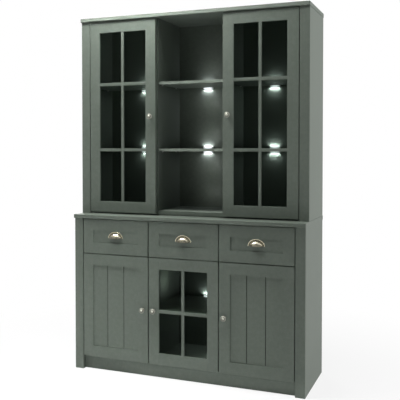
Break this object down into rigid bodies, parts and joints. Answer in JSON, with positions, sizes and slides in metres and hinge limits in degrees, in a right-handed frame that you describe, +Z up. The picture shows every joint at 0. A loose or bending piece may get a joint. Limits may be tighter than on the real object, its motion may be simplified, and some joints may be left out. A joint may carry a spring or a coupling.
{
  "type": "hutch",
  "caption": "Country-style hutch: a base with drawers over panelled and glazed doors, and a shallower upper unit with tall glazed doors beside an open lit shelf bay.",
  "frame": {"origin": "centre of the footprint, knobs included, on the floor", "axes": "+X to the right seen from the front, +Y to the rear, +Z up; the front faces -Y"},
  "size_m": [1.34, 0.461, 2.01],
  "materials": {
    "green_paint": "satin grey-green lacquer on board",
    "drawer_board": "plain foil-faced board",
    "clear_glass": "clear float glass",
    "antique_nickel": "warm antique nickel",
    "hinge_steel": "nickel-plated",
    "runner_metal": "epoxy-coated",
    "clip_plastic": "matt moulded",
    "lens": "frosted light window"
  },
  "bodies": {
    "cabinet": {"base_left_side": "green_paint", "base_right_side": "green_paint", "base_left_divider": "green_paint", "base_right_divider": "green_paint", "base_floor": "green_paint", "plinth": "green_paint", "base_back": "green_paint", "worktop": "green_paint", "base_stiles": "green_paint", "drawer_rails": "green_paint", "base_shelves": "green_paint", "upper_left_side": "green_paint", "upper_right_side": "green_paint", "upper_left_divider": "green_paint", "upper_right_divider": "green_paint", "upper_floor": "green_paint", "upper_back": "green_paint", "cornice": "green_paint", "upper_stiles": "green_paint", "upper_shelves": "green_paint", "shelf_pins": "hinge_steel", "packing_blocks": "drawer_board", "hinge_arms": "hinge_steel", "runner_channels": "runner_metal", "light_clips": "clip_plastic", "light_lenses": "lens"},
    "upper_left_door": {"upper_left_door_frame": "green_paint", "upper_left_door_glass": "clear_glass", "upper_left_door_beads": "green_paint", "upper_left_door_knob": "antique_nickel", "upper_left_door_hinge_cups": "hinge_steel"},
    "upper_right_door": {"upper_right_door_frame": "green_paint", "upper_right_door_glass": "clear_glass", "upper_right_door_beads": "green_paint", "upper_right_door_knob": "antique_nickel", "upper_right_door_hinge_cups": "hinge_steel"},
    "base_center_door": {"base_center_door_frame": "green_paint", "base_center_door_glass": "clear_glass", "base_center_door_beads": "green_paint", "base_center_door_knob": "antique_nickel", "base_center_door_hinge_cups": "hinge_steel"},
    "base_left_door": {"base_left_door_leaf": "green_paint", "base_left_door_knob": "antique_nickel", "base_left_door_hinge_cups": "hinge_steel"},
    "base_right_door": {"base_right_door_leaf": "green_paint", "base_right_door_knob": "antique_nickel", "base_right_door_hinge_cups": "hinge_steel"},
    "left_drawer": {"left_drawer_front": "green_paint", "left_drawer_box": "drawer_board", "left_drawer_pull": "antique_nickel", "left_drawer_runners": "runner_metal"},
    "center_drawer": {"center_drawer_front": "green_paint", "center_drawer_box": "drawer_board", "center_drawer_pull": "antique_nickel", "center_drawer_runners": "runner_metal"},
    "right_drawer": {"right_drawer_front": "green_paint", "right_drawer_box": "drawer_board", "right_drawer_pull": "antique_nickel", "right_drawer_runners": "runner_metal"}
  },
  "joints": [
    {"name": "upper_left_door_swing", "type": "hinge", "parent": "cabinet", "child": "upper_left_door", "pos_m": [-0.6, -0.1114, 1.43975], "axis": [0, 0, -1], "range_deg": [0, 95]},
    {"name": "upper_right_door_swing", "type": "hinge", "parent": "cabinet", "child": "upper_right_door", "pos_m": [0.6, -0.1114, 1.43975], "axis": [0, 0, 1], "range_deg": [0, 95]},
    {"name": "base_left_door_swing", "type": "hinge", "parent": "cabinet", "child": "base_left_door", "pos_m": [-0.6, -0.1934, 0.3705], "axis": [0, 0, -1], "range_deg": [0, 95]},
    {"name": "base_center_door_swing", "type": "hinge", "parent": "cabinet", "child": "base_center_door", "pos_m": [0.1905, -0.1934, 0.3705], "axis": [0, 0, 1], "range_deg": [0, 95]},
    {"name": "base_right_door_swing", "type": "hinge", "parent": "cabinet", "child": "base_right_door", "pos_m": [0.6, -0.1934, 0.3705], "axis": [0, 0, 1], "range_deg": [0, 95]},
    {"name": "left_drawer_slide", "type": "slide", "parent": "cabinet", "child": "left_drawer", "axis": [0, -1, 0], "range_m": [0, 0.27]},
    {"name": "center_drawer_slide", "type": "slide", "parent": "cabinet", "child": "center_drawer", "axis": [0, -1, 0], "range_m": [0, 0.27]},
    {"name": "right_drawer_slide", "type": "slide", "parent": "cabinet", "child": "right_drawer", "axis": [0, -1, 0], "range_m": [0, 0.27]}
  ]
}
